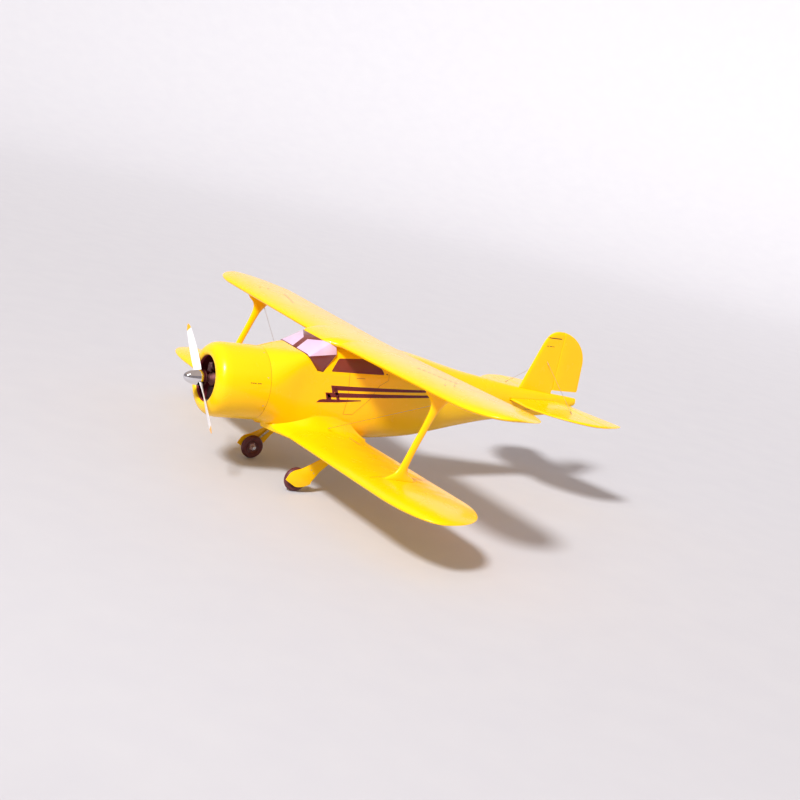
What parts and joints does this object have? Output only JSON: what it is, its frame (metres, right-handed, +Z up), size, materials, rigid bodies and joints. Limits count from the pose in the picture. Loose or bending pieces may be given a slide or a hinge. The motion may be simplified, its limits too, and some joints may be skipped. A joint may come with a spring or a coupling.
{
  "type": "radio-controlled biplane",
  "caption": "Scale cabin biplane with staggered wings, round cowl, hinged control surfaces and inward-retracting main wheels.",
  "frame": {"origin": "the point of the ground below the middle of the aircraft, which stands level on its main wheels", "axes": "+X to port along the span, +Y aft, +Z up"},
  "size_m": [1.6128, 1.327, 0.5025],
  "materials": {
    "yellow_gloss": "glossy chrome-yellow covering and paint",
    "white_propeller": "white moulded propeller with yellow tips",
    "chrome_plate": "polished",
    "aluminium": "machined and cast",
    "steel": "drawn wire and turned steel",
    "dark_metal": "black finned casting",
    "black_nylon": "moulded black",
    "birch_ply": "sanded plywood",
    "tinted_screen": "brown tinted moulding",
    "tyre_rubber": "very dark maroon-black rubber",
    "hub_plastic": "pale moulded hub",
    "clear_plastic": "milky moulded tank"
  },
  "bodies": {
    "airframe": {"crankcase": "aluminium", "engine_cylinder": "dark_metal", "cylinder_head": "aluminium", "glow_plug": "steel", "carburettor": "dark_metal", "muffler": "aluminium", "engine_mount": "black_nylon", "cowl": "yellow_gloss", "fuselage": "yellow_gloss", "firewall": "birch_ply", "equipment_tray": "birch_ply", "windscreen": "tinted_screen", "window_port": "tinted_screen", "window_starboard": "tinted_screen", "upper_wing_centre": "yellow_gloss", "upper_spar_tube": "aluminium", "lower_spar_tube": "aluminium", "upper_wing_port": "yellow_gloss", "upper_wing_starboard": "yellow_gloss", "lower_wing_port": "yellow_gloss", "lower_wing_starboard": "yellow_gloss", "strut_port": "yellow_gloss", "strut_starboard": "yellow_gloss", "flying_wire_port": "steel", "flying_wire_starboard": "steel", "fin": "yellow_gloss", "tailplane": "yellow_gloss", "tail_wire_port": "steel", "tail_wire_starboard": "steel", "tail_wheel_axle": "steel", "fuel_tank": "clear_plastic", "flight_battery": "black_nylon", "radio_receiver": "black_nylon", "servo_throttle": "black_nylon", "servo_elevator": "black_nylon", "servo_rudder": "black_nylon"},
    "airscrew": {"propeller": "white_propeller", "spinner": "chrome_plate", "spinner_backplate": "aluminium", "crankshaft": "steel", "propeller_nut": "steel"},
    "aileron_port": {"aileron_port": "yellow_gloss"},
    "aileron_starboard": {"aileron_starboard": "yellow_gloss"},
    "flap_port": {"flap_port": "yellow_gloss"},
    "flap_starboard": {"flap_starboard": "yellow_gloss"},
    "elevator": {"elevator": "yellow_gloss"},
    "rudder": {"rudder": "yellow_gloss"},
    "tail_wheel": {"tail_wheel": "tyre_rubber"},
    "gear_port": {"gear_leg_port": "steel", "gear_cover_port": "yellow_gloss", "axle_collar_port": "chrome_plate"},
    "gear_starboard": {"gear_leg_starboard": "steel", "gear_cover_starboard": "yellow_gloss", "axle_collar_starboard": "chrome_plate"},
    "wheel_port": {"tyre_port": "tyre_rubber", "wheel_hub_port": "hub_plastic"},
    "wheel_starboard": {"tyre_starboard": "tyre_rubber", "wheel_hub_starboard": "hub_plastic"}
  },
  "joints": [
    {"name": "airscrew_spin", "type": "hinge", "parent": "airframe", "child": "airscrew", "pos_m": [0, -0.6175, 0.2575], "axis": [0, 1, 0], "continuous": true},
    {"name": "aileron_port_hinge", "type": "hinge", "parent": "airframe", "child": "aileron_port", "pos_m": [0.54251, -0.0903, 0.4073], "axis": [0.9999, 0, 0.017], "range_deg": [-25, 25]},
    {"name": "aileron_starboard_hinge", "type": "hinge", "parent": "airframe", "child": "aileron_starboard", "pos_m": [-0.54251, -0.0903, 0.4073], "axis": [0.9999, 0, -0.017], "range_deg": [-25, 25]},
    {"name": "flap_port_hinge", "type": "hinge", "parent": "airframe", "child": "flap_port", "pos_m": [0.31902, -0.18257, 0.14779], "axis": [0.9999, 0, 0.016], "range_deg": [-40, 0]},
    {"name": "flap_starboard_hinge", "type": "hinge", "parent": "airframe", "child": "flap_starboard", "pos_m": [-0.31902, -0.18257, 0.14779], "axis": [0.9999, 0, -0.016], "range_deg": [-40, 0]},
    {"name": "elevator_hinge", "type": "hinge", "parent": "airframe", "child": "elevator", "pos_m": [0, 0.5655, 0.2845], "axis": [1, 0, 0], "range_deg": [-25, 25]},
    {"name": "rudder_hinge", "type": "hinge", "parent": "airframe", "child": "rudder", "pos_m": [0, 0.5655, 0.4075], "axis": [0, 0, 1], "range_deg": [-30, 30]},
    {"name": "tail_wheel_spin", "type": "hinge", "parent": "airframe", "child": "tail_wheel", "pos_m": [0, 0.4625, 0.2285], "axis": [1, 0, 0], "continuous": true},
    {"name": "gear_port_retract", "type": "hinge", "parent": "airframe", "child": "gear_port", "pos_m": [0.145, -0.2395, 0.1395], "axis": [0, 1, 0], "range_deg": [0, 90]},
    {"name": "gear_starboard_retract", "type": "hinge", "parent": "airframe", "child": "gear_starboard", "pos_m": [-0.145, -0.2395, 0.1395], "axis": [0, -1, 0], "range_deg": [0, 90]},
    {"name": "wheel_port_spin", "type": "hinge", "parent": "gear_port", "child": "wheel_port", "pos_m": [0.14, -0.3465, 0.0335], "axis": [1, 0, 0], "continuous": true},
    {"name": "wheel_starboard_spin", "type": "hinge", "parent": "gear_starboard", "child": "wheel_starboard", "pos_m": [-0.14, -0.3465, 0.0335], "axis": [1, 0, 0], "continuous": true}
  ],
  "couplings": [
    {"joint": "aileron_starboard_hinge", "follows": "aileron_port_hinge", "ratio": -1},
    {"joint": "flap_starboard_hinge", "follows": "flap_port_hinge", "ratio": 1},
    {"joint": "gear_starboard_retract", "follows": "gear_port_retract", "ratio": 1}
  ]
}
